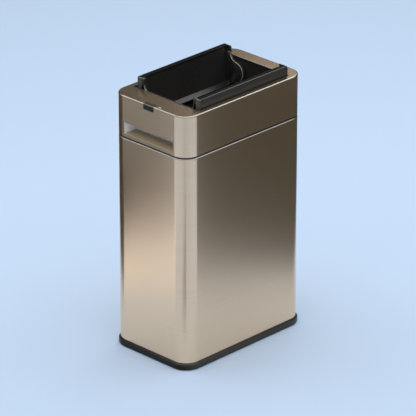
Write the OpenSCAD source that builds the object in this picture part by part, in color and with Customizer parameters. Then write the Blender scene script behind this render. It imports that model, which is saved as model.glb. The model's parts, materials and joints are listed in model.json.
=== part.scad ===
/* [Can] */
// Outside depth of the steel body, from the front to the back. The width follows from the wings and gears
can_l = 398; // [360:1:460]
// Height of the deck above the floor
deck_z = 650; // [560:1:760]
// Outside radius of the upright corners
corner_r = 38; // [30:1:46]
// Thickness of the steel sheet
sheet_t = 1; // [0.6:0.1:1.4]
// Radius of the rounded edge between the deck and the head's sides
deck_edge_r = 3; // [2:0.5:4]
// Height of the head, from its lower edge to the deck
head_h = 102.4; // [98:0.1:115]
// Height of the dark gap between the body and the head
seam_gap = 3.8; // [2.5:0.1:5]
// Radius of the rolled edge at the top of the body
body_edge_r = 1.6; // [1.3:0.1:2]

/* [Base] */
// Height of the plastic base ring
base_h = 17; // [14:0.5:24]
// How far the base ring stands out beyond the sheet
base_proud = 4.5; // [2:0.5:8]
// Gap under the base ring that the rubber feet make
foot_proud = 1; // [0.6:0.1:2]
// Diameter of a rubber foot
foot_d = 14; // [10:1:15]

/* [Opening] */
// Front edge of the opening, measured back from the front of the head
opening_front = 55; // [52:0.5:58]
// Rear edge of the opening, measured forward from the back of the head
opening_rear = 36; // [34:0.5:42]
// Corner radius of the opening
opening_r = 6; // [4:0.5:7]

/* [Wings] */
// Thickness of a lid wing
wing_t = 12; // [10:0.5:13]
// Depth of the wing's end walls and lower lip, from its outer face
wing_rim_d = 24; // [20:0.5:26]
// Thickness of the outer cover of a wing
cover_t = 3; // [2:0.5:4]
// Depth of the cover's skirt around a wing
cover_skirt = 14; // [13:0.5:16]
// Distance of a shut wing's side edge from its pivot
wing_reach = 40; // [37:0.5:44]
// How much nearer to the pivot the outer face lies than the side edge
face_inset = 1; // [0.5:0.1:2]
// Gap between the two wings when they are shut
meeting_gap = 1.5; // [1:0.1:3]
// Gap between the shut wing and the side of the opening
side_gap = 4.3; // [4.3:0.1:6]
// Strip between the front of the opening and the wings
front_strip = 11; // [10:0.5:12]
// Gap between the wings and the rear of the opening
rear_gap = 2.5; // [2:0.1:3]
// How far the shut wings lie below the deck
wing_sink = 0.5; // [0:0.1:1]
// Corner radius of a wing at the side of the opening
wing_side_r = 16; // [12:1:18]
// Radius of the round cheek about the pivot
hub_r = 26; // [24:0.5:27]

/* [Gears] */
// Module of the four gears that turn the wings
drive_m = 1.6; // [1.6:0.1:1.6]
// Teeth of the gear on each wing
wing_teeth = 30; // [30:2:30]
// Teeth of each of the two idlers
idler_teeth = 25; // [25:2:25]
// Module of the motor stage
motor_m = 1; // [0.8:0.1:1]
// Play between meshing teeth
backlash = 0.3; // [0.2:0.05:0.5]
// Width of the gears
gear_w = 6; // [4:0.5:7]
// Diameter of the wing shafts
shaft_d = 10; // [8:0.5:12]
// Diameter of the pins that carry the idlers
axle_d = 5; // [4:0.5:6]
// Diameter of the gear motor
motor_d = 27; // [24:1:28]
// Length of the gear motor
motor_l = 33; // [28:1:35]

/* [Front fittings] */
// Height of the mouth of the grip pocket
pocket_h = 28; // [22:0.5:29]
// Distance of the pocket above the lower edge of the head
pocket_rise = 8; // [7:0.5:12]
// Depth of the grip pocket
pocket_d = 26; // [20:1:27]
// Width of the sensor lens
lens_w = 34; // [28:1:44]
// How far the lens comes down the front
lens_drop = 13.5; // [11:0.5:15]
// How far the lens reaches back over the deck
lens_back = 13; // [9:0.5:14]

/* [Rear fittings] */
// Height of the rear service panel
panel_h = 50; // [48:1:54]
// Diameter of one battery
cell_d = 14.5; // [14:0.1:15]
// Length of one battery
cell_l = 50.5; // [49:0.5:51]

/* [Hidden] */

// Fineness of the round forms, and of the few blended ones
$fn = 96;
blend_fn = 32;
// Overrun of every cut, clearance of still fits, radial play of turning fits
cut = 2;
fit = 0.1;
play = 0.05;
slack = 0.4;

// Wall thickness of the moulded parts
wall = 2;
rib_t = 1.6;
screw_d = 3;
screw_head_d = 6;
screw_head_h = 1.6;

// Heights of the main joints
head_z = deck_z - head_h;
body_top = head_z - seam_gap;
base_bottom = foot_proud;
base_top = base_bottom + base_h;

// Base ring section, measured from the sheet
ledge_h = 3.5;
ledge_in = 1.2;
base_edge_r = 2.5;
shelf_w = 14;
shelf_t = 3;
groove_rise = 5;
upstand_rise = 8;
groove_z = base_bottom + groove_rise;
upstand_z = base_top + upstand_rise;
foot_sink = 1.5;
foot_inset = 5.5;
screw_inset = 8;
foot_gap = 12;
pan_t = 1.2;
pan_inset = sheet_t + fit + wall + slack;
pan_bead_h = 2;
pan_bead_w = 26;
pan_bead_count = 3;

// Collar and bag ring sections, measured from the sheet
lip_w = 6;
lip_h = 7;
collar_inset = 1.8;
collar_web = 14;
collar_flange = 14;
collar_upstand = 5.4;
ring_ledge_w = 19.5;
ring_ledge_t = 2.5;
ring_d = 5;
ring_inset = 16.75;

// Pivots of the wings: the drive gears set how far apart they are
wing_gear_r = drive_m * wing_teeth / 2;
idler_r = drive_m * idler_teeth / 2;
pivot_x = wing_gear_r + 2 * idler_r;
idler_x = idler_r;
wing_face = wing_reach - face_inset;
wing_sweep = sqrt(pow(wing_face, 2) + pow(wing_reach, 2));
swing_gap = 0.884;
can_w = 2 * (pivot_x + wing_sweep + swing_gap + sheet_t);
pivot_z = deck_z - wing_sink - wing_face;

// Opening in the deck and the trim around it
opening_w = 2 * (pivot_x + wing_reach + side_gap);
opening_y0 = -can_l / 2 + opening_front;
opening_y1 = can_l / 2 - opening_rear;
trim_lip = 1.5;
trim_t = 1.1;
trim_flange = 5;

// Wing, in distances from its pivot: out to its face, up to its meeting edge
wing_up = pivot_x - meeting_gap / 2;
bore_web = 1.6;
lip_slope_h = 6;
wing_down = wing_reach;
wing_y0 = opening_y0 + front_strip;
wing_y1 = opening_y1 - rear_gap;
wing_inner = wing_face - wing_t;
wing_deep = wing_face - wing_rim_d;
wing_skirt = wing_face - cover_skirt;
wing_top_deep = wing_face - wing_rim_d * 0.7;
wing_taper = 14;
wing_edge = 1.2;
wing_front_r = 3;
wing_rear_r = 4;
wing_lip_t = 3;
skirt_t = 1.6;
lip_top = -wing_down + wing_lip_t + skirt_t;
cheek_t = 6;
cheek_fillet = 22;
tray_floor = 2.2;
tray_rib_pitch = 48;

// Bulkheads of the head and the bearings in them
bulk_air = 2.5;
bulk_front = wing_y0 - bulk_air;
bulk_rear = opening_y1 + 3 * fit;
bulk_t = 2.4;
bulk_side = 2.6;
bush_wall = 2;
bush_d = shaft_d + 2 * bush_wall;
bush_rim = 4.5;
bush_flange_d = shaft_d + 2 * bush_rim;
bush_flange_t = 1;
bush_tail = 1.6;
boss_t = 3;

// Planes of the gears, in distances forward of the front bulkhead
gear_plane = 3.5;
stage_gap = 2.6;
stage_w = 5;
cover_gap = 2.4;
case_t = 2;
case_wall = 1.8;
case_air = 2.2;
stage_teeth = 36;
pinion_teeth = 12;
small_teeth = 14;
stage_r = motor_m * stage_teeth / 2;
pinion_r = motor_m * pinion_teeth / 2;
small_r = drive_m * small_teeth / 2;
main_y1 = bulk_front - bulk_t - gear_plane;
main_y0 = main_y1 - gear_w;
stage_y1 = main_y0 - stage_gap;
stage_y0 = stage_y1 - stage_w;
case_y1 = stage_y0 - cover_gap;
case_y0 = case_y1 - case_t;
stage_z = pivot_z - idler_r - small_r;
motor_angle = 122;
motor_x = (stage_r + pinion_r) * cos(motor_angle) - idler_x;
motor_z = (stage_r + pinion_r) * sin(motor_angle) + stage_z;
motor_shaft_d = 3;
pressure_angle = 20;
addendum_share = 0.9;
dedendum_share = 1.2;
gear_hub_wall = 3;
gear_hub_d = shaft_d + 2 * gear_hub_wall;
gear_hub_w = 1.5;

// Chassis
chassis_gap = 0.2;
chassis_foot = 8;
chassis_wall_h = 10;
pocket_side = 2.75;
pocket_w = can_w - 2 * (corner_r + pocket_side);
pocket_room = 17;
floor_rise = 7;
floor_z = head_z + floor_rise;
floor_t = 2;
throat_side = 30;
throat_lip = 20;
throat_r = 6;
post_d = 9;
post_inset = 26;
stud_d = 4;
stud_end = 5;
nut_d = 8;
nut_h = 3;

// Grip pocket, lens, boards and light
pocket_z = head_z + pocket_rise;
pocket_t = 1.4;
pocket_flange = 4;
pocket_taper = 14;
pocket_slope = 6.5;
lens_t = 2;
lens_proud = 0.2;
lens_frame = 3;
eye_d = 5;
board_t = 1.6;
light_l = 8;
light_w = 2;
light_x = 29.5;
light_inset = 9;
light_y = can_l / 2 - light_inset;
light_depth = 6;
chip_t = 1.8;
board_w = 56;
board_h = 34;
board_x = 52;
standoff_d = 5;
standoff_l = 4;

// Rear service panel and what it carries
panel_rise = 51;
panel_z = head_z + panel_rise;
panel_t = 2;
panel_proud = 0.5;
panel_flange = 5;
panel_r = 5;
cell_gap = 0.3;
nub_d = 5;
nub_l = 1.5;
contact_t = 0.5;
coil_turns = 3;
coil_r = 3.6;
coil_wire = 0.7;
coil_h = 4;
coil_steps = 4;
case_l = 2 * (cell_l + coil_h + contact_t) + cell_gap;
case_h = 2 * cell_d + 3 * cell_gap;
case_d = cell_d + 2 * cell_gap;
door_rim = 4;
panel_rim = 4;
door_l = case_l + 2 * door_rim;
service_w = 27.7;
panel_w = panel_rim + door_l + service_w;
case_x = -panel_w / 2 + case_l / 2 + door_rim + panel_rim;
door_h = case_h + 2 * door_rim;
door_t = 2;
door_tab_w = 12;
door_tab_h = 1.2;
door_tab_l = 4;
service_x = (case_x + door_l / 2 + panel_w / 2) / 2 - wall;
rocker_w = 13;
rocker_h = 19;
rocker_angle = 7;
rocker_pin_d = 2.4;
rocker_t = 7;
switch_l = 14;
switch_edge = 1.8;
rocker_rise = 9;
inlet_drop = 13;
rocker_z = panel_z + rocker_rise;
inlet_z = panel_z - inlet_drop;
inlet_d = 11;
inlet_bore = 5.6;
inlet_pin_d = 2;
inlet_l = 14;

// Colours
steel = [0.66, 0.62, 0.55];
black = [0.10, 0.10, 0.10];
dark = [0.18, 0.17, 0.16];
brass = [0.78, 0.66, 0.36];
green = [0.13, 0.36, 0.22];
pale = [0.86, 0.88, 0.90];

// Rectangle with its own radius at each corner: low left, low right, high right, high left
module corner_rect(low, high, radii) {
    inward = [[1, 1], [-1, 1], [-1, -1], [1, -1]];
    at = [low, [high.x, low.y], high, [low.x, high.y]];
    difference() {
        translate(low)
            square(high - low);
        for (i = [0:3])
            if (radii[i] > 0)
                translate([at[i].x + inward[i].x * radii[i], at[i].y + inward[i].y * radii[i]])
                    rotate(180 + 90 * i)
                        difference() {
                            square(radii[i] + cut);
                            circle(radii[i]);
                        }
    }
}

// The can's outline, drawn in from the outer face of the sheet
module can_outline(inset) {
    corner_rect([inset - can_w / 2, inset - can_l / 2], [can_w / 2 - inset, can_l / 2 - inset],
        [for (i = [0:3]) corner_r - inset]);
}

// Carries a section around a rounded rectangle of width w and length l with corner radius r.
// The section's x is the distance outward from the rectangle, and its y is the height.
module around(w, l, r) {
    for (side = [0:3]) {
        half_a = (side % 2 == 0 ? w : l) / 2;
        half_b = (side % 2 == 0 ? l : w) / 2;
        rotate(90 * side) {
            translate([half_a, half_b - r, 0])
                rotate([90, 0, 0])
                    linear_extrude(2 * (half_b - r))
                        children();
            translate([half_a - r, half_b - r, 0])
                rotate_extrude(angle = 90)
                    translate([r, 0])
                        children();
        }
    }
}

module around_can() {
    around(can_w, can_l, corner_r)
        children();
}

// Extrudes a section drawn in x and z from y0 to y1
module along_y(y0, y1) {
    translate([0, y1, 0])
        rotate([90, 0, 0])
            linear_extrude(y1 - y0)
                children();
}

// Extrudes a section drawn in y and z from x0 to x1
module along_x(x0, x1) {
    translate([x0, 0, 0])
        rotate([90, 0, 90])
            linear_extrude(x1 - x0)
                children();
}

// A quarter of a bent sheet, whose outer radius is r, centred on the bend
module bend(r, t) {
    intersection() {
        difference() {
            circle(r);
            circle(r - t);
        }
        square(r + cut);
    }
}

// A cylinder along y from y0 to y1
module rod_y(x, z, y0, y1, d) {
    translate([x, y1, z])
        rotate([90, 0, 0])
            cylinder(h = y1 - y0, d = d);
}

// Involute gear outlines
function involute(a) = tan(a) * 180 / PI - a;
function flank_angle(base_r, r) = acos(min(1, base_r / r));
function gear_phase(teeth_a, phase_a, teeth_b, toward) =
    toward + 180 - (phase_a - toward) * teeth_a / teeth_b + 180 / teeth_b;

module gear_outline(teeth, m, phase) {
    pitch_r = m * teeth / 2;
    base_r = pitch_r * cos(pressure_angle);
    tip_r = pitch_r + m * addendum_share;
    root_r = pitch_r - m * dedendum_share;
    start_r = max(base_r, root_r + m / 10);
    half = 90 / teeth - backlash / pitch_r / 4 * 180 / PI + involute(pressure_angle);
    steps = 4;
    radii = [for (i = [0:steps]) start_r + (tip_r - start_r) * i / steps];
    flank = [for (r = radii) [r, half - involute(flank_angle(base_r, r))]];
    points = [for (k = [0:teeth - 1])
        let (mid = phase + 360 * k / teeth)
        for (p = concat([[root_r, -flank[0][1]]], [for (f = flank) [f[0], -f[1]]],
            [for (i = [steps:-1:0]) flank[i]], [[root_r, flank[0][1]]]))
        [p[0] * cos(mid + p[1]), p[0] * sin(mid + p[1])]];
    polygon(points);
}

left_phase = 0;
idler_left_phase = gear_phase(wing_teeth, left_phase, idler_teeth, 0);
idler_right_phase = gear_phase(idler_teeth, idler_left_phase, idler_teeth, 0);
right_phase = gear_phase(idler_teeth, idler_right_phase, wing_teeth, 0);
small_phase = gear_phase(idler_teeth, idler_left_phase, small_teeth, -90);
pinion_phase = gear_phase(stage_teeth, small_phase, pinion_teeth, motor_angle);

// Body

// Steel tube with its top edge rolled in
module body_shell() {
    color(steel)
        around_can()
            union() {
                translate([-sheet_t, groove_z])
                    square([sheet_t, body_top - body_edge_r - groove_z]);
                translate([-body_edge_r, body_top - body_edge_r])
                    bend(body_edge_r, sheet_t);
                translate([-lip_w, body_top - sheet_t])
                    square([lip_w - body_edge_r, sheet_t]);
                translate([-lip_w, body_top - lip_h])
                    square([sheet_t, lip_h]);
            }
}

module base_section() {
    inner = sheet_t + fit;
    polygon([[-shelf_w, base_bottom], [base_proud - base_edge_r, base_bottom],
        [base_proud, base_bottom + base_edge_r], [base_proud, base_top - ledge_h],
        [base_proud - ledge_in, base_top - ledge_h + ledge_in], [fit, base_top],
        [fit, groove_z], [-inner, groove_z], [-inner, upstand_z], [-inner - wall, upstand_z],
        [-inner - wall, base_bottom + shelf_t], [-shelf_w, base_bottom + shelf_t]]);
    translate([base_proud - base_edge_r, base_bottom + base_edge_r])
        intersection() {
            circle(base_edge_r);
            translate([0, -base_edge_r])
                square(base_edge_r);
        }
}

function foot_places() = [for (sx = [-1, 1], sy = [-1, 1])
    [sx * (can_w / 2 - foot_inset), sy * (can_l / 2 - corner_r - foot_gap)]];
function base_screw_places() = [for (sx = [-1, 1], sy = [-1, 0, 1])
    [sx * (can_w / 2 - screw_inset), sy * (can_l / 2 - corner_r - 3 * foot_gap)]];

module base_ring() {
    color(black)
        difference() {
            around_can()
                base_section();
            for (p = foot_places())
                translate([p.x, p.y, base_bottom - cut])
                    cylinder(h = cut + foot_sink, d = foot_d + 2 * fit);
            for (p = base_screw_places())
                translate([p.x, p.y, base_bottom - cut]) {
                    cylinder(h = cut + shelf_t + cut, d = screw_d + 2 * fit);
                    cylinder(h = cut + screw_head_h, d = screw_head_d + 2 * fit);
                }
        }
}

// Floor of the body, with pressed beads across it
module floor_pan() {
    pan_z = base_bottom + shelf_t;
    bead_pitch = can_l / (pan_bead_count + 1);
    bead_half = can_w / 2 - corner_r;
    color(steel)
        difference() {
            union() {
                translate([0, 0, pan_z])
                    linear_extrude(pan_t)
                        can_outline(pan_inset);
                for (i = [1:pan_bead_count])
                    translate([-bead_half, i * bead_pitch - can_l / 2 - pan_bead_w / 2, pan_z])
                        linear_extrude(pan_t + pan_bead_h)
                            corner_rect([0, 0], [2 * bead_half, pan_bead_w],
                                [for (k = [0:3]) pan_bead_w / 4]);
            }
            for (i = [1:pan_bead_count])
                translate([-bead_half, i * bead_pitch - can_l / 2 - pan_bead_w / 2, pan_z - cut])
                    linear_extrude(cut + pan_bead_h)
                        corner_rect([pan_t, pan_t], [2 * bead_half - pan_t, pan_bead_w - pan_t],
                            [for (k = [0:3]) pan_bead_w / 4 - pan_t]);
            for (p = base_screw_places())
                translate([p.x, p.y, pan_z - cut])
                    cylinder(h = 2 * cut + pan_t, d = screw_d + 2 * fit);
        }
}

module feet() {
    color(dark)
        for (p = foot_places())
            translate([p.x, p.y, 0])
                cylinder(h = foot_proud + foot_sink, d = foot_d);
}

module base_screws() {
    color("silver")
        for (p = base_screw_places())
            translate([p.x, p.y, base_bottom]) {
                cylinder(h = screw_head_h, d = screw_head_d);
                cylinder(h = shelf_t + pan_t + screw_d, d = screw_d);
            }
}

// Collar on the top of the body: it shows as the dark gap and carries the head and the bag ring
module body_collar() {
    color(black)
        around_can()
            union() {
                translate([-collar_flange, body_top])
                    square([collar_flange - collar_inset, seam_gap]);
                translate([-lip_w - fit - wall, body_top - collar_web])
                    square([wall, collar_web + fit]);
                translate([-collar_flange, body_top + seam_gap - fit])
                    square([wall, collar_upstand + fit]);
                translate([-ring_ledge_w, body_top - ring_ledge_t])
                    square([ring_ledge_w - lip_w - fit, ring_ledge_t]);
            }
}

// Round wire ring that holds the bag's rim
module bag_ring() {
    color("silver")
        around_can()
            translate([-ring_inset, body_top + ring_d / 2])
                circle(d = ring_d, $fn = blend_fn);
}

// Head

module deck_hole() {
    corner_rect([-opening_w / 2, opening_y0], [opening_w / 2, opening_y1],
        [for (i = [0:3]) opening_r]);
}

module panel_hole(grow) {
    translate([0, panel_z])
        corner_rect([-panel_w / 2 - grow, -panel_h / 2 - grow], [panel_w / 2 + grow, panel_h / 2 + grow],
            [for (i = [0:3]) panel_r + grow]);
}

// Steel sleeve and deck in one, with the opening and the cut-outs for the fittings
module head_shell() {
    color(steel)
        difference() {
            union() {
                around_can() {
                    translate([-sheet_t, head_z])
                        square([sheet_t, head_h - deck_edge_r]);
                }
                around_can()
                    translate([-deck_edge_r, deck_z - deck_edge_r])
                        bend(deck_edge_r, sheet_t);
                translate([0, 0, deck_z - sheet_t])
                    linear_extrude(sheet_t)
                        can_outline(deck_edge_r);
                for (p = post_places())
                    translate([p.x, p.y, floor_z - stud_end])
                        cylinder(h = deck_z - sheet_t / 2 - floor_z + stud_end, d = stud_d);
            }
            translate([0, 0, deck_z - sheet_t - cut])
                linear_extrude(sheet_t + 2 * cut)
                    deck_hole();
            along_y(-can_l / 2 - cut, -can_l / 2 + sheet_t + cut)
                corner_rect([-pocket_w / 2, pocket_z], [pocket_w / 2, pocket_z + pocket_h],
                    [for (i = [0:3]) pocket_t]);
            translate([-lens_w / 2 - fit, -can_l / 2 - cut, deck_z - lens_drop - fit])
                cube([lens_w + 2 * fit, cut + lens_back + fit, lens_drop + cut]);
            translate([light_x, -light_y, deck_z - sheet_t - cut])
                linear_extrude(sheet_t + 2 * cut)
                    pill(light_l + 2 * fit, light_w + 2 * fit);
            along_y(can_l / 2 - sheet_t - cut, can_l / 2 + cut)
                panel_hole(fit);
        }
}

module pill(l, w) {
    square([l - w, w], center = true);
    for (s = [-1, 1])
        translate([s * (l - w) / 2, 0])
            circle(d = w);
}

// Thin black trim around the raw edge of the opening
module opening_trim() {
    color(black)
        translate([0, (opening_y0 + opening_y1) / 2, 0])
            around(opening_w, opening_y1 - opening_y0, opening_r)
                union() {
                    translate([-trim_lip, deck_z - sheet_t - fit - trim_t])
                        square([trim_lip - fit, sheet_t + fit + trim_t]);
                    translate([-trim_lip, deck_z - sheet_t - fit - trim_t])
                        square([trim_lip + trim_flange, trim_t]);
                }
}

function post_places() = [for (sx = [-1, 1], sy = [-1, 1])
    [sx * (can_w / 2 - corner_r), sy * (can_l / 2 - post_inset)]];

module throat_outline(grow) {
    corner_rect([-can_w / 2 + throat_side - grow, wing_y0 + 2 * bulk_side - grow],
        [can_w / 2 - throat_side + grow, wing_y1 - bulk_side + grow],
        [for (i = [0:3]) throat_r + grow]);
}

// Moulded frame of the head: foot ring, floor of the bays, throat and the two bulkheads
module head_chassis() {
    skin = sheet_t + chassis_gap;
    under = deck_z - sheet_t - chassis_gap;
    bulk_w = can_w / 2 - sheet_t - bulk_side;
    trim_low = deck_z - sheet_t - fit - trim_t - fit;
    color(black)
        difference() {
            union() {
                around_can()
                    union() {
                        translate([-skin - wall, head_z + fit])
                            square([wall, floor_z - head_z + chassis_wall_h]);
                        translate([-skin - chassis_foot, head_z + fit])
                            square([chassis_foot, wall]);
                    }
                translate([0, 0, floor_z])
                    linear_extrude(floor_t)
                        difference() {
                            can_outline(skin + fit);
                            throat_outline(0);
                        }
                translate([0, 0, floor_z + floor_t - throat_lip])
                    linear_extrude(throat_lip)
                        difference() {
                            throat_outline(wall);
                            throat_outline(0);
                        }
                along_y(bulk_front - bulk_t, bulk_front)
                    corner_rect([-bulk_w, floor_z], [bulk_w, trim_low],
                        [bulk_t, bulk_t, bulk_t, bulk_t]);
                along_y(bulk_rear, bulk_rear + bulk_t)
                    corner_rect([-bulk_w + bulk_side, floor_z], [bulk_w - bulk_side, trim_low],
                        [bulk_t, bulk_t, bulk_t, bulk_t]);
                // ledge that fills the strip in front of the wings
                translate([0, 0, trim_low - bulk_t])
                    linear_extrude(bulk_t)
                        corner_rect([-opening_w / 2 + opening_r, opening_y0 - trim_flange],
                            [opening_w / 2 - opening_r, bulk_front], [for (i = [0:3]) bulk_t]);
                for (s = [-1, 1]) {
                    rod_y(s * pivot_x, pivot_z, bulk_front - bulk_t - boss_t / 2, bulk_front,
                        bush_flange_d);
                    rod_y(s * pivot_x, pivot_z, bulk_rear, bulk_rear + bulk_t + boss_t, bush_flange_d);
                }
                for (p = post_places())
                    translate([p.x, p.y, floor_z])
                        cylinder(h = under - floor_z, d = post_d);
            }
            for (s = [-1, 1]) {
                rod_y(s * pivot_x, pivot_z, bulk_front - bulk_t - boss_t - cut, bulk_front + cut,
                    bush_d + 2 * fit);
                rod_y(s * pivot_x, pivot_z, bulk_rear - cut, bulk_rear + bulk_t + boss_t + cut,
                    bush_d + 2 * fit);
            }
            for (x = [-idler_x, idler_x])
                rod_y(x, pivot_z, bulk_front - bulk_t - cut, bulk_front + cut, axle_d + 2 * fit);
            rod_y(-idler_x, stage_z, bulk_front - bulk_t - cut, bulk_front + cut, axle_d + 2 * fit);
            for (p = cover_screw_places())
                rod_y(p.x, p.y, bulk_front - bulk_t - cut, bulk_front + cut, screw_d + 2 * fit);
            for (p = post_places())
                translate([p.x, p.y, floor_z - cut])
                    cylinder(h = under - floor_z + 2 * cut, d = stud_d + 2 * fit);
            // room for the grip pocket behind the foot ring
            translate([-pocket_w / 2 - pocket_flange - slack, -can_l / 2, head_z + fit + wall])
                cube([pocket_w + 2 * (pocket_flange + slack), pocket_room, chassis_foot + chassis_wall_h]);
        }
}

// Nuts on the deck's four studs, which pull the moulded frame up against the deck
module chassis_nuts() {
    color("silver")
        for (p = post_places())
            translate([p.x, p.y, floor_z - nut_h])
                linear_extrude(nut_h)
                    difference() {
                        circle(d = nut_d, $fn = 6);
                        circle(d = stud_d + 2 * play);
                    }
}

// Pressed tub behind the cut-out in the front: its floor rises to the back and its ends close in
module grip_pocket() {
    front = -can_l / 2 + sheet_t + fit;
    t = pocket_t;
    color(steel)
        difference() {
            union() {
                pocket_form(front, pocket_d, pocket_t);
                translate([0, front, pocket_z + pocket_h / 2])
                    along_y(0, t)
                        corner_rect([-pocket_w / 2 - pocket_flange, -pocket_h / 2 - pocket_flange],
                            [pocket_w / 2 + pocket_flange, pocket_h / 2 + pocket_flange],
                            [for (i = [0:3]) pocket_flange]);
            }
            pocket_form(front - t, pocket_d, 0);
        }
}

module pocket_form(front, depth, grow) {
    low = pocket_z - grow;
    high = pocket_z + pocket_h + grow;
    half = pocket_w / 2 + grow;
    hull() {
        translate([-half, front, low])
            cube([2 * half, pocket_t, high - low]);
        translate([-half + pocket_taper, front, low + pocket_slope])
            cube([2 * (half - pocket_taper), depth + grow, high - low - pocket_slope]);
    }
}

// Dark lens that wraps over the front edge of the deck
module sensor_lens() {
    out = lens_proud;
    edge = deck_edge_r;
    color(black)
        translate([0, -can_l / 2, deck_z])
            along_x(-lens_w / 2, lens_w / 2)
                union() {
                    translate([-out, -lens_drop])
                        square([lens_t, lens_drop - edge]);
                    translate([edge, -edge])
                        rotate(90)
                            bend(edge + out, lens_t);
                    translate([edge, out - lens_t])
                        square([lens_back - edge, lens_t]);
                }
}

// Box behind the lens that shuts the notch from inside
sensor_back = -can_l / 2 + lens_back + lens_frame;
sensor_low = deck_z - lens_drop - lens_frame;

module sensor_housing() {
    front = -can_l / 2 + sheet_t + fit;
    high = deck_z - sheet_t - fit;
    half = lens_w / 2 + lens_frame;
    color(black)
        difference() {
            translate([-half, front, sensor_low])
                cube([2 * half, sensor_back - front, high - sensor_low]);
            translate([-half + rib_t, front - cut, sensor_low + rib_t])
                cube([2 * (half - rib_t), sensor_back - front - rib_t + cut, high - sensor_low]);
            // leaves the head's rounded edge free
            along_x(-half - cut, half + cut)
                polygon([[front - cut, high - deck_edge_r], [front, high - deck_edge_r],
                    [front + deck_edge_r, high], [front + deck_edge_r, high + cut], [front - cut, high + cut]]);
        }
}

// Small board with its two infrared eyes, which reach up to the back of the lens
module sensor_board() {
    y = sensor_back - rib_t - board_t;
    color(green)
        translate([-lens_w / 2, y, sensor_low + rib_t])
            cube([lens_w, board_t, lens_drop - lens_t]);
    color(dark)
        for (s = [-1, 1])
            rod_y(s * lens_w / 4, sensor_low + rib_t + lens_drop / 2, -can_l / 2 - lens_proud + lens_t + fit,
                y, eye_d);
}

module status_light() {
    color(pale)
        translate([light_x, -light_y, deck_z - light_depth])
            union() {
                linear_extrude(light_depth)
                    pill(light_l, light_w);
                linear_extrude(light_depth - sheet_t - fit)
                    pill(light_l + light_w, 1.6 * light_w);
            }
}

// Flanged bushes in both bulkheads
module hinge_bushes() {
    color(pale)
        for (s = [-1, 1])
            difference() {
                union() {
                    rod_y(s * pivot_x, pivot_z, bulk_front - bulk_t - bush_tail, bulk_front, bush_d);
                    rod_y(s * pivot_x, pivot_z, bulk_front, bulk_front + bush_flange_t, bush_flange_d);
                    rod_y(s * pivot_x, pivot_z, bulk_rear, bulk_rear + bulk_t + boss_t, bush_d);
                    rod_y(s * pivot_x, pivot_z, bulk_rear - bush_flange_t, bulk_rear, bush_flange_d);
                }
                rod_y(s * pivot_x, pivot_z, bulk_front - can_w, bulk_rear + can_w, shaft_d + 2 * play);
            }
}

// Gear train

function cover_screw_places() = [for (s = [-1, 1])
    [s * (pivot_x + wing_gear_r + 3 * screw_d), pivot_z]];

module cover_outline(grow) {
    gear_air = drive_m + case_air + grow;
    for (s = [-1, 1])
        translate([s * pivot_x, pivot_z])
            circle(wing_gear_r + gear_air);
    translate([-pivot_x, pivot_z - idler_r - gear_air])
        square([2 * pivot_x, 2 * (idler_r + gear_air)]);
    translate([-idler_x, stage_z])
        circle(stage_r + motor_m + case_air / 2 + grow);
}

module gear_cover() {
    color(dark)
        difference() {
            union() {
                along_y(case_y0, bulk_front - bulk_t - fit)
                    cover_outline(case_wall);
                for (p = cover_screw_places())
                    rod_y(p.x, p.y, case_y0, bulk_front - bulk_t - fit, 3 * screw_d);
                for (p = board_posts())
                    rod_y(p.x, p.y, case_y0 - standoff_l, case_y0 + fit, standoff_d);
            }
            along_y(case_y1, bulk_front)
                cover_outline(0);
            for (x = [-idler_x, idler_x])
                rod_y(x, pivot_z, case_y0 - cut, case_y1 + cut, axle_d + 2 * fit);
            rod_y(-idler_x, stage_z, case_y0 - cut, case_y1 + cut, axle_d + 2 * fit);
            rod_y(motor_x, motor_z, case_y0 - cut, case_y1 + cut, 3 * motor_shaft_d);
            for (p = cover_screw_places())
                rod_y(p.x, p.y, case_y0 - cut, bulk_front, screw_d + 2 * fit);
        }
}

module gear_cover_screws() {
    color("silver")
        for (p = cover_screw_places()) {
            rod_y(p.x, p.y, case_y0 - screw_head_h, case_y0, screw_head_d);
            rod_y(p.x, p.y, case_y0, bulk_front, screw_d);
        }
}

module idler_axles() {
    color("silver") {
        for (x = [-idler_x, idler_x])
            rod_y(x, pivot_z, case_y0, bulk_front, axle_d);
        rod_y(-idler_x, stage_z, case_y0, bulk_front, axle_d);
    }
}

module idler_gear(x, phase) {
    difference() {
        union() {
            translate([x, 0, pivot_z])
                along_y(main_y0, main_y1)
                    gear_outline(idler_teeth, drive_m, phase);
            rod_y(x, pivot_z, main_y0 - gear_hub_w, main_y1 + gear_hub_w, 2 * axle_d);
        }
        rod_y(x, pivot_z, main_y0 - cut, main_y1 + cut, axle_d + 2 * play);
        for (a = [0:60:300])
            rod_y(x + idler_r * 0.62 * cos(a), pivot_z + idler_r * 0.62 * sin(a), main_y0 - cut,
                main_y1 + cut, axle_d + 2 * rib_t);
    }
}

module idler_gear_left() {
    color(pale)
        idler_gear(-idler_x, idler_left_phase);
}

module idler_gear_right() {
    color(pale)
        idler_gear(idler_x, idler_right_phase);
}

module reduction_gear() {
    color(pale)
        difference() {
            union() {
                translate([-idler_x, 0, stage_z])
                    along_y(stage_y0, stage_y1)
                        gear_outline(stage_teeth, motor_m, small_phase);
                translate([-idler_x, 0, stage_z])
                    along_y(stage_y1, main_y1)
                        gear_outline(small_teeth, drive_m, small_phase);
            }
            rod_y(-idler_x, stage_z, stage_y0 - cut, main_y1 + cut, axle_d + 2 * play);
        }
}

module motor_pinion() {
    color(brass) {
        difference() {
            translate([motor_x, 0, motor_z])
                along_y(stage_y0, stage_y1)
                    gear_outline(pinion_teeth, motor_m, pinion_phase);
            rod_y(motor_x, motor_z, stage_y0 - cut, stage_y1 + cut, motor_shaft_d - fit);
        }
        rod_y(motor_x, motor_z, case_y0 - rib_t, stage_y1, motor_shaft_d);
    }
}

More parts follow.
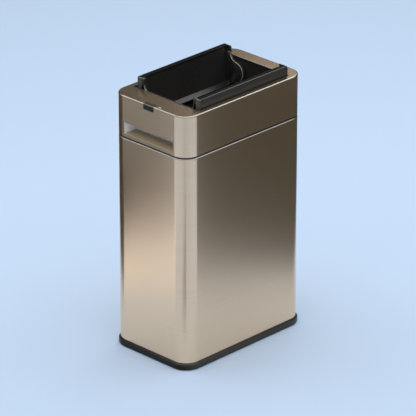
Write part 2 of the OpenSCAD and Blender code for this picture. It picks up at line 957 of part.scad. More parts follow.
module gear_motor() {
    back = case_y0 - motor_l;
    color("gray")
        difference() {
            union() {
                rod_y(motor_x, motor_z, back, case_y0, motor_d);
                rod_y(motor_x, motor_z, back - rib_t, back, motor_d / 2);
            }
            rod_y(motor_x, motor_z, case_y0 - 2 * rib_t, case_y0 + cut, motor_shaft_d + 2 * play);
        }
}

function board_posts() = [for (sx = [-1, 1], sz = [-1, 1])
    [board_x + sx * (board_w / 2 - standoff_d), pivot_z + sz * (board_h / 2 - standoff_d)]];

module control_board() {
    y1 = case_y0 - standoff_l;
    color(green)
        translate([board_x - board_w / 2, y1 - board_t, pivot_z - board_h / 2])
            cube([board_w, board_t, board_h]);
    color(dark)
        for (part = [[0.12, 0.2, 0.3, 0.35], [0.55, 0.15, 0.2, 0.2], [0.55, 0.55, 0.3, 0.25]])
            translate([board_x - board_w / 2 + part[0] * board_w, y1 - board_t - chip_t,
                pivot_z - board_h / 2 + part[1] * board_h])
                cube([part[2] * board_w, chip_t, part[3] * board_h]);
}

// Wings, drawn open on the right; the left one is the mirror image

module wing_plan(inset) {
    corner_rect([wing_y0 + inset, -wing_down + inset], [wing_y1 - inset, wing_up - inset],
        [wing_side_r - inset, wing_side_r - inset, wing_rear_r - inset, wing_front_r - inset]);
}

// Outer skin with its skirt, which stops short along the thin meeting edge
module wing_cover() {
    color(black)
        translate([pivot_x, 0, pivot_z]) {
            hull() {
                along_x(wing_face - cover_t, wing_face - wing_edge)
                    wing_plan(0, $fn = blend_fn);
                along_x(wing_face - wing_edge, wing_face)
                    wing_plan(wing_edge, $fn = blend_fn);
            }
            difference() {
                along_x(wing_skirt, wing_face - cover_t + fit)
                    difference() {
                        wing_plan(0, $fn = blend_fn);
                        wing_plan(skirt_t, $fn = blend_fn);
                    }
                meeting_relief(wing_skirt);
            }
        }
}

// Takes the rim away along the meeting edge, where the wing is only as thick as its panel
module meeting_relief(from) {
    along_y(wing_y0 + cheek_t, wing_y1 - cheek_t)
        translate([from - cut, wing_up - wing_rear_r - wing_lip_t])
            square([wing_inner - from + cut, wing_rear_r + wing_lip_t + cut]);
}

// The cheek of a wing: a round hub at the pivot, drawn into the end wall by a hollow curve
module cheek_outline() {
    fillet_u = sqrt(pow(hub_r + cheek_fillet, 2) - pow(wing_deep - cheek_fillet, 2));
    intersection() {
        circle(hub_r);
        translate([-hub_r, -hub_r])
            square([hub_r + wing_skirt - fit, 2 * hub_r]);
    }
    difference() {
        polygon([[0, -hub_r], [wing_deep, -wing_down + wing_side_r / 2],
            [wing_skirt - fit, -wing_down / 2], [wing_skirt - fit, fillet_u],
            [wing_deep - cheek_fillet, fillet_u], [wing_deep - cheek_fillet, 0]]);
        translate([wing_deep - cheek_fillet, fillet_u])
            circle(cheek_fillet);
    }
}

module wing_frame() {
    length = wing_y1 - wing_y0;
    ribs = floor(length / tray_rib_pitch);
    back = wing_face - cover_t;
    inside = skirt_t + fit;
    color(black)
        translate([pivot_x, 0, pivot_z])
            difference() {
                union() {
                    // tray inside the cover's skirt
                    difference() {
                        along_x(wing_inner, back - fit)
                            wing_plan(inside);
                        along_x(wing_inner + tray_floor, back + cut)
                            wing_plan(inside + tray_floor);
                    }
                    for (i = [1:ribs])
                        translate([wing_inner, wing_y0 + i * length / (ribs + 1) - rib_t / 2,
                            -wing_down + inside + rib_t])
                            cube([wing_t - cover_t - slack, rib_t, wing_up + wing_down - 2 * inside - 2 * rib_t]);
                    // rim that stands out toward the opening
                    difference() {
                        union() {
                            along_x(wing_skirt - fit, wing_inner + fit)
                                difference() {
                                    wing_plan(inside);
                                    wing_plan(wing_lip_t + skirt_t);
                                }
                            along_x(wing_deep, wing_skirt - fit)
                                difference() {
                                    wing_plan(0);
                                    wing_plan(wing_lip_t + skirt_t);
                                }
                        }
                        along_y(wing_y0 - cut, wing_y1 + cut)
                            polygon([[wing_deep - cut, wing_up - wing_taper],
                                [wing_deep, wing_up - wing_taper], [wing_top_deep, wing_up + cut],
                                [wing_deep - cut, wing_up + cut]]);
                        meeting_relief(wing_deep);
                    }
                    // slope from the lower lip up to the tray
                    along_y(wing_y0 + cheek_t - fit, wing_y1 - cheek_t + fit)
                        polygon([[wing_deep, lip_top - fit], [wing_deep, lip_top],
                            [wing_inner + fit, lip_top + lip_slope_h], [wing_inner + fit, lip_top - fit]]);
                    for (y = [wing_y0, wing_y1 - cheek_t])
                        along_y(y, y + cheek_t)
                            cheek_outline();
                }
                // blind bores for the shaft and the pin
                rod_y(0, 0, wing_y0 - cut, wing_y0 + cheek_t - bore_web, shaft_d + 2 * fit);
                rod_y(0, 0, wing_y1 - cheek_t + bore_web, wing_y1 + cut, shaft_d + 2 * fit);
            }
}

module drive_shaft() {
    rod_y(pivot_x, pivot_z, main_y0 - gear_hub_w, wing_y0 + cheek_t - bore_web - fit, shaft_d);
}

module rear_pin() {
    rod_y(pivot_x, pivot_z, wing_y1 - cheek_t + bore_web + fit, bulk_rear + bulk_t + boss_t, shaft_d);
}

module wing_gear(x, phase) {
    difference() {
        union() {
            translate([x, 0, pivot_z])
                along_y(main_y0, main_y1)
                    gear_outline(wing_teeth, drive_m, phase);
            rod_y(x, pivot_z, main_y0 - gear_hub_w, main_y1, gear_hub_d);
        }
        rod_y(x, pivot_z, main_y0 - gear_hub_w - cut, main_y1 + cut, shaft_d + 2 * fit);
        for (a = [0:60:300])
            rod_y(x + wing_gear_r * 0.64 * cos(a), pivot_z + wing_gear_r * 0.64 * sin(a), main_y0 - cut,
                main_y1 + cut, axle_d + rib_t);
    }
}

module left_wing_cover() {
    mirror([1, 0, 0])
        wing_cover();
}

module left_wing_frame() {
    mirror([1, 0, 0])
        wing_frame();
}

module left_drive_shaft() {
    color("silver")
        mirror([1, 0, 0])
            drive_shaft();
}

module left_wing_gear() {
    color(pale)
        wing_gear(-pivot_x, left_phase);
}

module left_rear_pin() {
    color("silver")
        mirror([1, 0, 0])
            rear_pin();
}

module right_wing_cover() {
    wing_cover();
}

module right_wing_frame() {
    wing_frame();
}

module right_drive_shaft() {
    color("silver")
        drive_shaft();
}

module right_wing_gear() {
    color(pale)
        wing_gear(pivot_x, right_phase);
}

module right_rear_pin() {
    color("silver")
        rear_pin();
}

// Rear service panel

module door_outline(grow) {
    translate([case_x, panel_z])
        corner_rect([-door_l / 2 - grow, -door_h / 2 - grow], [door_l / 2 + grow, door_h / 2 + grow],
            [for (i = [0:3]) panel_r / 2 + grow]);
}

module rocker_hole(grow) {
    translate([service_x, rocker_z])
        square([rocker_w + 2 * grow, rocker_h + 2 * grow], center = true);
}

module rear_panel() {
    face = can_l / 2 + panel_proud;
    inside = can_l / 2 - sheet_t - fit;
    color(black)
        difference() {
            union() {
                along_y(inside - panel_t, face)
                    panel_hole(0);
                along_y(inside - panel_t, inside)
                    panel_hole(panel_flange);
            }
            along_y(face - door_t - fit, face + cut)
                door_outline(slack);
            along_y(inside - panel_t - cut, face + cut)
                translate([case_x, panel_z])
                    square([case_l, case_h], center = true);
            for (s = [-1, 1])
                translate([case_x + s * case_l / 4 - door_tab_w / 2 - slack, inside - panel_t - cut,
                    panel_z - case_h / 2 - door_tab_h - slack])
                    cube([door_tab_w + 2 * slack, face - door_t - inside + panel_t + cut,
                        case_h + 2 * (door_tab_h + slack)]);
            along_y(inside - panel_t - cut, face + cut)
                rocker_hole(slack);
            rod_y(service_x, inlet_z, inside - panel_t - cut, face + cut, inlet_d + 2 * fit);
        }
}

// Open box behind the panel, with a wall between the two rows of cells
module battery_case() {
    y1 = can_l / 2 - sheet_t - fit - panel_t - fit;
    y0 = y1 - case_d;
    color(dark)
        translate([case_x, 0, panel_z])
            difference() {
                along_y(y0 - wall, y1)
                    square([case_l + 2 * wall, case_h + 2 * (wall + door_tab_h + slack)], center = true);
                along_y(y0, y1 + cut)
                    square([case_l, case_h], center = true);
                for (s = [-1, 1])
                    translate([s * case_l / 4 - door_tab_w / 2 - slack, y1 - 2 * door_tab_l,
                        -case_h / 2 - door_tab_h - slack])
                        cube([door_tab_w + 2 * slack, 2 * door_tab_l + cut,
                            case_h + 2 * (door_tab_h + slack)]);
            }
}

function cell_z(row) = panel_z + (row - 0.5) * (cell_d + cell_gap);
cell_y = can_l / 2 - sheet_t - 2 * fit - panel_t - case_d / 2;

// Coil of round wire, drawn as the level section of the wire turned while it rises
module contact_coil() {
    pitch = coil_h / coil_turns;
    spread = 360 * coil_wire / pitch;
    side = [for (i = [-coil_steps:coil_steps])
        let (a = i / coil_steps)
        [spread * a / 2, coil_wire / 2 * sqrt(max(0, 1 - a * a))]];
    outer = [for (p = side) [(coil_r + p[1]) * cos(p[0]), (coil_r + p[1]) * sin(p[0])]];
    inner = [for (i = [2 * coil_steps - 1:-1:1])
        [(coil_r - side[i][1]) * cos(side[i][0]), (coil_r - side[i][1]) * sin(side[i][0])]];
    linear_extrude(height = coil_h, twist = -360 * coil_turns, slices = 2 * coil_turns * coil_steps)
        polygon(concat(outer, inner));
}

// Plates at both ends of each row, with a coil for the flat end and a button for the other
module battery_contacts() {
    color("silver")
        for (row = [0, 1], s = [-1, 1])
            translate([case_x + s * (case_l / 2 - contact_t), cell_y, cell_z(row)])
                rotate([0, -90 * s, 0]) {
                    translate([0, 0, -contact_t / 2])
                        cube([cell_d, cell_d, contact_t], center = true);
                    if (s == 2 * row - 1)
                        contact_coil();
                    else
                        cylinder(h = coil_h, d = nub_d);
                }
}

module batteries() {
    color(dark)
        for (row = [0, 1], k = [-1, 1])
            translate([case_x + k * (cell_l + cell_gap) / 2, cell_y, cell_z(row)])
                rotate([0, 90 - 180 * row, 0])
                    translate([0, 0, -cell_l / 2])
                        union() {
                            cylinder(h = cell_l - nub_l, d = cell_d);
                            cylinder(h = cell_l, d = nub_d);
                        }
}

module battery_door() {
    face = can_l / 2 + panel_proud;
    color(black)
        difference() {
            union() {
                along_y(face - door_t, face)
                    door_outline(0);
                for (s = [-1, 1], t = [-1, 1])
                    translate([case_x + s * case_l / 4 - door_tab_w / 2, face - door_t - 2 * door_tab_l,
                        panel_z + t * (case_h / 2 + door_tab_h / 2) - door_tab_h / 2])
                        cube([door_tab_w, 2 * door_tab_l + fit, door_tab_h]);
            }
            for (k = [-1, 0, 1])
                translate([case_x - door_tab_w, face - rib_t / 2, panel_z + door_h / 3 + k * 2 * rib_t])
                    cube([2 * door_tab_w, rib_t, rib_t]);
        }
}

// Box behind the panel that holds the rocker's pin
module switch_housing() {
    back = can_l / 2 - sheet_t - 2 * fit - panel_t;
    half_w = rocker_w / 2 + slack;
    half_h = rocker_h / 2 + slack;
    color(dark)
        translate([service_x, 0, rocker_z])
            difference() {
                along_y(back - switch_l, back)
                    square([2 * (half_w + switch_edge), 2 * (half_h + switch_edge)], center = true);
                along_y(back - switch_l + switch_edge, back + cut)
                    square([2 * half_w, 2 * half_h], center = true);
                along_x(-half_w - switch_edge - cut, half_w + switch_edge + cut)
                    translate([can_l / 2 + panel_proud - rocker_t, 0])
                        circle(d = rocker_pin_d + 2 * play);
            }
}

// Two-position rocker on its own pin
module power_rocker() {
    face = can_l / 2 + panel_proud;
    color(dark)
        translate([0, face - rocker_t, rocker_z])
            rotate([-rocker_angle, 0, 0])
                union() {
                    along_x(service_x - rocker_w / 2, service_x + rocker_w / 2)
                        polygon([[0, -rocker_h / 2 + rib_t], [rocker_t, -rocker_h / 2 + rib_t],
                            [rocker_t - rib_t / 2, 0], [rocker_t, rocker_h / 2 - rib_t],
                            [0, rocker_h / 2 - rib_t]]);
                    along_x(service_x - rocker_w / 2 - slack - switch_edge,
                        service_x + rocker_w / 2 + slack + switch_edge)
                        circle(d = rocker_pin_d);
                }
}

module power_inlet() {
    face = can_l / 2 + panel_proud;
    color(dark)
        difference() {
            rod_y(service_x, inlet_z, face - inlet_l, face, inlet_d);
            difference() {
                rod_y(service_x, inlet_z, face - inlet_l + wall, face + cut, inlet_bore);
                rod_y(service_x, inlet_z, face - inlet_l, face - wall / 2, inlet_pin_d);
            }
        }
}

body_shell();
base_ring();
floor_pan();
feet();
base_screws();
body_collar();
bag_ring();
head_shell();
opening_trim();
head_chassis();
chassis_nuts();
grip_pocket();
sensor_lens();
sensor_housing();
sensor_board();
status_light();
hinge_bushes();
gear_cover();
gear_cover_screws();
idler_axles();
gear_motor();
motor_pinion();
reduction_gear();
idler_gear_left();
idler_gear_right();
control_board();
left_wing_cover();
left_wing_frame();
left_drive_shaft();
left_wing_gear();
left_rear_pin();
right_wing_cover();
right_wing_frame();
right_drive_shaft();
right_wing_gear();
right_rear_pin();
rear_panel();
battery_case();
battery_contacts();
batteries();
battery_door();
switch_housing();
power_rocker();
power_inlet();
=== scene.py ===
import json
import math
import bmesh
import bpy
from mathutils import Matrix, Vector


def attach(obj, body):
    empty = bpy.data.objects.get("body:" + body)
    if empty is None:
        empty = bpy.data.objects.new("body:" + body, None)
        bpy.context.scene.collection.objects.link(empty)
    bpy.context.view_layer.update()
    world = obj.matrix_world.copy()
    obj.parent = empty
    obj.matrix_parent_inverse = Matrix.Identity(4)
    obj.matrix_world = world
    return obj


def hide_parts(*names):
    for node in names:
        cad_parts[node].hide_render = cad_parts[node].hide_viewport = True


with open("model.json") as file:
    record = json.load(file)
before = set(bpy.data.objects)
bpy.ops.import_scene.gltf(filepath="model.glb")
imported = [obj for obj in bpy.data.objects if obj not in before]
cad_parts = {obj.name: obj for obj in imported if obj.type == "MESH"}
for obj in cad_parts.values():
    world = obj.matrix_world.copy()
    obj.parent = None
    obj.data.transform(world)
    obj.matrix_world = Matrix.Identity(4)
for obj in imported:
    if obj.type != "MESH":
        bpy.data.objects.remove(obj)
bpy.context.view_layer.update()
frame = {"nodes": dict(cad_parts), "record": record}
NODES = frame["nodes"]
MM = 0.001

# Sizes in millimetres, as in the solids but for EDGE, DEEP, RIM_DROP and TUB_LOW, which are set here

CAN_W, CAN_L, CAN_R = 243.5, 398.0, 38.0
CAN_FRONT, CAN_BACK = -CAN_L / 2, CAN_L / 2
SHEET = 1.0
BODY_LOW, BODY_MIDDLE, BODY_TOP = 6.0, 300.0, 543.8
HEAD_LOW, HEAD_MIDDLE, DECK = 547.6, 600.0, 650.0
OPEN_FRONT, OPEN_BACK = -144.0, 163.0
OPEN_W, OPEN_R = 216.6, 6.0
# Clearance, overlap of joined parts, and reach of a cutter past the sheet
GAP, LAP, OVERRUN = 0.1, 0.1, 4.0
# Points this far beside a corner or a rounded edge keep the shading of the flats even
CORNER_GUARD, EDGE_GUARD = 0.8, 0.6

# Body

# The visual rim lies this much below the solid's, so that the dark seam shows
RIM_DROP = 1.1
ROLL = 6.0
# Base ring, its sloped ledge, and its lip inside the sleeve
RING_OUT, RING_IN = 4.5, -14.0
RING_LOW, RING_FLOOR, RING_R = 1.0, 4.0, 2.5
LEDGE_LOW, LEDGE_HIGH, LEDGE_IN = 13.7, 17.5, 0.5
LEDGE_R, LEDGE_END_R = 0.9, 0.4
LIP_TOP, LIP_IN, LIP_SOFT = 26.0, -3.1, 0.4
FOOT_X, FOOT_Y, FOOT_R, FOOT_SEAT = 116.25, 149.0, 7.0, 2.5

# Head

EDGE = 2.5
STUD_X, STUD_Y, STUD_R, STUD_LOW = 83.75, 173.0, 2.0, 550.6
TRIM_W, TRIM_LOW = 5.0, DECK - 2.2
POCKET_W, POCKET_LOW, POCKET_HIGH, POCKET_R = 162.0, 555.6, 583.6, 1.4
# The tub narrows to the back, where its floor lies 0.9 mm above the solid's
TUB_W, TUB_LOW, TUB_HIGH, TUB_BACK, TUB_WALL = 134.0, 563.0, 583.2, -172.0, 1.2
FLANGE = 4.0
LENS_W, LENS_LOW, LENS_BACK = 34.0, 636.5, -186.0
LENS_R, LENS_WALL, LENS_PROUD = 3.2, 2.0, 0.2
LIGHT_W, LIGHT_L, LIGHT_X, LIGHT_Y = 8.0, 2.0, 29.5, -190.0
PANEL_W, PANEL_LOW, PANEL_HIGH, PANEL_R = 150.0, 573.6, 623.6, 5.0

# Wings

# Pivot across and up, reach along the can and up, and corner radii
PIVOT = (64.0, 610.5)
WING_Y = (-133.0, 160.5)
WING_U = (-40.0, 63.25)
WING_R = (16.0, 16.0, 4.0, 3.0)
# Depths from the pivot: outer face, inside of the cover, inner face, edges of the cover and of the tray
FACE, COVER_IN, INNER, SKIRT, DEEP = 39.0, 36.0, 27.0, 25.0, 16.5
COVER_WALL, COVER_ROUND, TRAY_WALL = 1.6, 1.2, 4.6
NOTCH = 12.0
# Hinge cheeks: thickness, radii of the hub and of the blend into the rim, and where the hub's arc ends
CHEEK, HUB, BLEND = 6.0, 26.0, 22.0
HUB_END = 262
# The cheek's web to the cover, above the wing's lower end
WEB_LOW, WEB_HIGH = 9.0, 20.0
# How far a face of the cheek's rounded edges points along the can; those faces take a pale grey that is a
# painted highlight
EDGE_FACING = (0.2, 0.97)


# Meshes

def arc(cx, cy, r, a0, a1, n):
    """Points on an arc from angle a0 to a1 in n steps."""
    return [(cx + r * math.cos(math.radians(a0 + (a1 - a0) * i / n)),
             cy + r * math.sin(math.radians(a0 + (a1 - a0) * i / n))) for i in range(n + 1)]


def rounded(x0, y0, x1, y1, radii, n=12, pad=0.0):
    """Counter-clockwise outline; radii run low left, low right, high right, high left.
    A pad adds a point on the straight just before and after each corner."""
    centres = ((x0, y0, 1, 1), (x1, y0, -1, 1), (x1, y1, -1, -1), (x0, y1, 1, -1))
    points = []
    for i, (x, y, sx, sy) in enumerate(centres):
        r = max(radii[i], 0.02)
        bend = arc(x + sx * r, y + sy * r, r, 180 + 90 * i, 270 + 90 * i, n)
        if pad:
            ahead = (math.cos(math.radians(90 * i)), math.sin(math.radians(90 * i)))
            bend = ([(bend[0][0] - ahead[1] * pad, bend[0][1] + ahead[0] * pad)] + bend
                    + [(bend[-1][0] + ahead[0] * pad, bend[-1][1] + ahead[1] * pad)])
        points += bend
    return points


def can_loop(off):
    """Outline of the can, moved out by off."""
    return rounded(-CAN_W / 2 - off, CAN_FRONT - off, CAN_W / 2 + off, CAN_BACK + off,
                   [CAN_R + off] * 4, 20, CORNER_GUARD)


def hole_loop(off):
    """Outline of the opening, moved out by off."""
    return rounded(-OPEN_W / 2 - off, OPEN_FRONT - off, OPEN_W / 2 + off, OPEN_BACK + off,
                   [OPEN_R + off] * 4, 20, CORNER_GUARD)


def stacked(outline, section):
    """Loops of an outline for the offsets and heights of a section."""
    return [[(x, y, z) for x, y in outline(off)] for off, z in section]


def placed(name, data):
    obj = bpy.data.objects.new(name, data)
    bpy.context.scene.collection.objects.link(obj)
    return obj


def make(name, points, faces, smooth=35):
    """Closed or open mesh from points in millimetres."""
    me = bpy.data.meshes.new(name)
    me.from_pydata([tuple(c * MM for c in p) for p in points], [], faces)
    bm = bmesh.new()
    bm.from_mesh(me)
    bmesh.ops.remove_doubles(bm, verts=bm.verts, dist=1e-7)
    bmesh.ops.recalc_face_normals(bm, faces=bm.faces)
    bm.to_mesh(me)
    bm.free()
    me.shade_smooth()
    me.set_sharp_from_angle(angle=math.radians(smooth))
    return placed(name, me)


def rings(name, loops, closed=True, caps=False, smooth=35):
    """Skin over loops of equal length; closed joins the last loop to the first, caps fills both ends."""
    n = len(loops[0])
    count = len(loops)
    points = [p for loop in loops for p in loop]
    faces = []
    for k in range(count if closed else count - 1):
        a, b = k * n, (k + 1) % count * n
        for i in range(n):
            j = (i + 1) % n
            faces.append((a + i, a + j, b + j, b + i))
    if caps:
        faces.append(tuple(range(n)))
        faces.append(tuple(range((count - 1) * n, count * n)))
    return make(name, points, faces, smooth)


def solid(name, loops, smooth=35):
    """Skin over loops, closed by a cap at each end."""
    return rings(name, loops, False, True, smooth)


def post(name, x, y, section):
    """Round upright bar; the section lists radii and heights."""
    return solid(name, [[(px, py, z) for px, py in arc(x, y, r, 0, 360, 24)[:-1]] for r, z in section])


def settle(obj):
    """Fixes the modifiers into the mesh."""
    graph = bpy.context.evaluated_depsgraph_get()
    me = bpy.data.meshes.new_from_object(obj.evaluated_get(graph))
    obj.modifiers.clear()
    obj.data = me


def bevel(obj, width, segments=3, angle=30):
    mod = obj.modifiers.new("edge", "BEVEL")
    mod.width = width * MM
    mod.segments = segments
    mod.limit_method = "ANGLE"
    mod.angle_limit = math.radians(angle)
    mod.harden_normals = True
    obj.data.shade_smooth()
    settle(obj)


def carve(obj, cutters):
    for cutter in cutters:
        mod = obj.modifiers.new("cut", "BOOLEAN")
        mod.operation = "DIFFERENCE"
        mod.solver = "EXACT"
        mod.object = cutter
    bpy.context.view_layer.update()
    settle(obj)
    for cutter in cutters:
        bpy.data.objects.remove(cutter)


def shade(obj, angle):
    """Smooth shading, with edges over the angle kept sharp."""
    obj.data.shade_smooth()
    obj.data.set_sharp_from_angle(angle=math.radians(angle))


def block(name, low, high, radius=0.0, axis="y"):
    """Closed block for cutting, with rounded edges along the y or z axis."""
    a, b, c = {"y": (0, 2, 1), "z": (0, 1, 2)}[axis]
    flat = rounded(low[a], low[b], high[a], high[b], [radius] * 4, 6)
    loops = []
    for level in (low[c], high[c]):
        loop = []
        for u, v in flat:
            p = [0, 0, 0]
            p[a], p[b], p[c] = u, v, level
            loop.append(tuple(p))
        loops.append(loop)
    return solid(name, loops)


def joined(name, parts):
    """One mesh in place of several."""
    bm = bmesh.new()
    for part in parts:
        bm.from_mesh(part.data)
    me = bpy.data.meshes.new(name)
    bm.to_mesh(me)
    bm.free()
    obj = placed(name, me)
    for part in parts:
        bpy.data.objects.remove(part)
    return obj


# Materials

# Share of the normal that points up: on the deck, and on a rounded edge with its reach either way
FLAT_FROM = 0.8
# The rounded edges so found get a darker, neutral tone: painted shade that dims their highlight
BEND_UP, BEND_REACH = 0.55, 0.42

# Changes of the steel's roughness along the grain and in patches
STREAK, PATCH = 0.002, 0.004


def material(name):
    mat = bpy.data.materials.new(name)
    mat.use_nodes = True
    tree = mat.node_tree
    return mat, tree, tree.nodes["Principled BSDF"]


def add(tree, kind, **inputs):
    """Adds a node. A key with p_ sets a property, i and a number an input by place, others one by name."""
    node = tree.nodes.new(kind)
    for key, value in inputs.items():
        if key.startswith("p_"):
            setattr(node, key[2:], value)
            continue
        socket = node.inputs[int(key[1:]) if key[1:].isdigit() else key.replace("_", " ")]
        if isinstance(value, bpy.types.NodeSocket):
            tree.links.new(value, socket)
        else:
            socket.default_value = value
    return node


def grain(tree, scale, detail=3.0, rough=0.5):
    """Noise in object space, stretched by scale."""
    at = add(tree, "ShaderNodeTexCoord")
    move = add(tree, "ShaderNodeMapping", Vector=at.outputs["Object"], Scale=scale)
    return add(tree, "ShaderNodeTexNoise", Vector=move.outputs[0], Scale=1.0, Detail=detail,
               Roughness=rough).outputs["Fac"]


def ramp(tree, fac, low, high):
    """Runs from low to high as fac runs from 0 to 1."""
    return add(tree, "ShaderNodeMapRange", Value=fac, To_Min=low, To_Max=high).outputs[0]


def span(tree, value, low, high):
    """Runs from 0 to 1 as value runs from low to high."""
    return add(tree, "ShaderNodeMapRange", Value=value, From_Min=low, From_Max=high).outputs[0]


def maths(tree, operation, *values):
    inputs = {f"i{k}": value for k, value in enumerate(values)}
    return add(tree, "ShaderNodeMath", p_operation=operation, **inputs).outputs[0]


def mix(tree, fac, first, second, mode="MIX"):
    """Mix of two colours, each a socket or three numbers."""
    first, second = [c if isinstance(c, bpy.types.NodeSocket) else (*c, 1) for c in (first, second)]
    return add(tree, "ShaderNodeMix", p_data_type="RGBA", p_blend_type=mode, i0=fac, i6=first,
               i7=second).outputs[2]


def shaded(color, share):
    return [min(1, c * share) for c in color]


def facing(tree, axis):
    """How far the surface faces along an axis, either way."""
    normal = add(tree, "ShaderNodeNewGeometry").outputs["Normal"]
    return maths(tree, "ABSOLUTE", add(tree, "ShaderNodeSeparateXYZ", Vector=normal).outputs[axis])


def brushed(name, color, deck, bend, rough, aniso, lines=420.0, depth=0.0003):
    """Sheet brushed around the can, and across it on the deck; deck and bend are the colours there, painted
    light and shade: the deck's tone is set for its light, and the rounded edges are darker to dim their
    highlight.
    """
    mat, tree, bsdf = material(name)
    up = facing(tree, "Z")
    flat = maths(tree, "GREATER_THAN", up, FLAT_FROM)
    wall = maths(tree, "SUBTRACT", 1.0, flat)
    around = grain(tree, (1.5, 1.5, lines), 3.0, 0.6)
    across = grain(tree, (lines, 1.5, 1.5), 3.0, 0.6)
    fine = add(tree, "ShaderNodeMix", p_data_type="FLOAT", i0=flat, i2=around, i3=across).outputs[0]
    cloud = grain(tree, (9.0, 9.0, 5.0))
    tint = mix(tree, ramp(tree, fine, -0.3, 1.3), shaded(color, 0.91), shaded(color, 1.06))
    # Painted light and shade: the deck and the rounded edges take their own tones
    tint = mix(tree, ramp(tree, flat, 0.0, 0.6), tint, deck)
    tint = mix(tree, maths(tree, "COMPARE", up, BEND_UP, BEND_REACH), tint, bend)
    level = maths(tree, "ADD", ramp(tree, fine, rough - STREAK, rough + STREAK),
                  ramp(tree, cloud, -PATCH, PATCH))
    level = maths(tree, "MULTIPLY", level, ramp(tree, flat, 1.0, 0.7))
    tangent = add(tree, "ShaderNodeCombineXYZ", X=flat, Y=0.0, Z=wall).outputs[0]
    bump = add(tree, "ShaderNodeBump", Strength=ramp(tree, flat, depth, 0.0), Distance=0.0003, Height=fine)
    tree.links.new(tint, bsdf.inputs["Base Color"])
    tree.links.new(level, bsdf.inputs["Roughness"])
    tree.links.new(tangent, bsdf.inputs["Tangent"])
    tree.links.new(bump.outputs[0], bsdf.inputs["Normal"])
    tree.links.new(ramp(tree, flat, aniso, aniso * 0.3), bsdf.inputs["Anisotropic"])
    bsdf.inputs["Metallic"].default_value = 1.0
    return mat


def moulded(name, color, rough, bump=0.08, size=2500.0, metallic=0.0, spread=0.05):
    """Plastic, rubber or plain metal with a fine surface grain and slow changes of gloss."""
    mat, tree, bsdf = material(name)
    fine = grain(tree, (size, size, size), 2.0)
    slow = grain(tree, (14.0, 14.0, 14.0))
    relief = add(tree, "ShaderNodeBump", Strength=bump, Distance=0.0001, Height=fine)
    tree.links.new(mix(tree, slow, shaded(color, 0.85), shaded(color, 1.15)), bsdf.inputs["Base Color"])
    tree.links.new(ramp(tree, slow, rough - spread, rough + spread), bsdf.inputs["Roughness"])
    tree.links.new(relief.outputs[0], bsdf.inputs["Normal"])
    bsdf.inputs["Metallic"].default_value = metallic
    return mat


def painted_by_facing(name, side, top, rough, end=None, gloss=0.5, shine=1.0):
    """Glossy plastic whose tone is painted light and shade: it changes where the surface faces up or to the
    ends, set for how light falls there; the rounded edges are polished.
    """
    mat = moulded(name, side, rough, 0.02, 900.0, spread=0.02)
    tree = mat.node_tree
    bsdf = tree.nodes["Principled BSDF"]
    up = facing(tree, "Z")
    tone = bsdf.inputs["Base Color"].links[0].from_socket
    # Painted light and shade: the tone follows the facing, to the ends and upward
    tone = mix(tree, span(tree, facing(tree, "Y"), 0.3, 0.8), tone, end or side)
    tone = mix(tree, span(tree, up, 0.5, 0.9), tone, top)
    edge = maths(tree, "COMPARE", up, 0.45, 0.33)
    tree.links.new(tone, bsdf.inputs["Base Color"])
    tree.links.new(ramp(tree, edge, gloss, shine), bsdf.inputs["Specular IOR Level"])
    return mat


def pressed(name, wall, bottom):
    """Pressed tub: satin walls and a bottom, faintly streaked; the pale walls are painted light and the
    brown bottom is painted shade.
    """
    mat, tree, bsdf = material(name)
    normal = add(tree, "ShaderNodeNewGeometry").outputs["Normal"]
    low = span(tree, add(tree, "ShaderNodeSeparateXYZ", Vector=normal).outputs["Z"], 0.5, 0.8)
    fine = grain(tree, (3.0, 900.0, 900.0), 4.0, 0.6)
    streaks = add(tree, "ShaderNodeCombineColor", Red=fine, Green=fine, Blue=fine).outputs[0]
    # Painted light and shade: pale walls, brown bottom
    tone = mix(tree, 0.1, mix(tree, low, wall, bottom), streaks, "MULTIPLY")
    level = maths(tree, "ADD", ramp(tree, fine, -0.04, 0.04), ramp(tree, low, 0.45, 0.5))
    tree.links.new(tone, bsdf.inputs["Base Color"])
    tree.links.new(level, bsdf.inputs["Roughness"])
    tree.links.new(ramp(tree, low, 0.10, 0.5), bsdf.inputs["Metallic"])
    return mat


def plain(name, color):
    """Matt board for the floor and the cards."""
    mat, tree, bsdf = material(name)
    bsdf.inputs["Base Color"].default_value = (*color, 1)
    bsdf.inputs["Roughness"].default_value = 0.9
    return mat, tree, bsdf
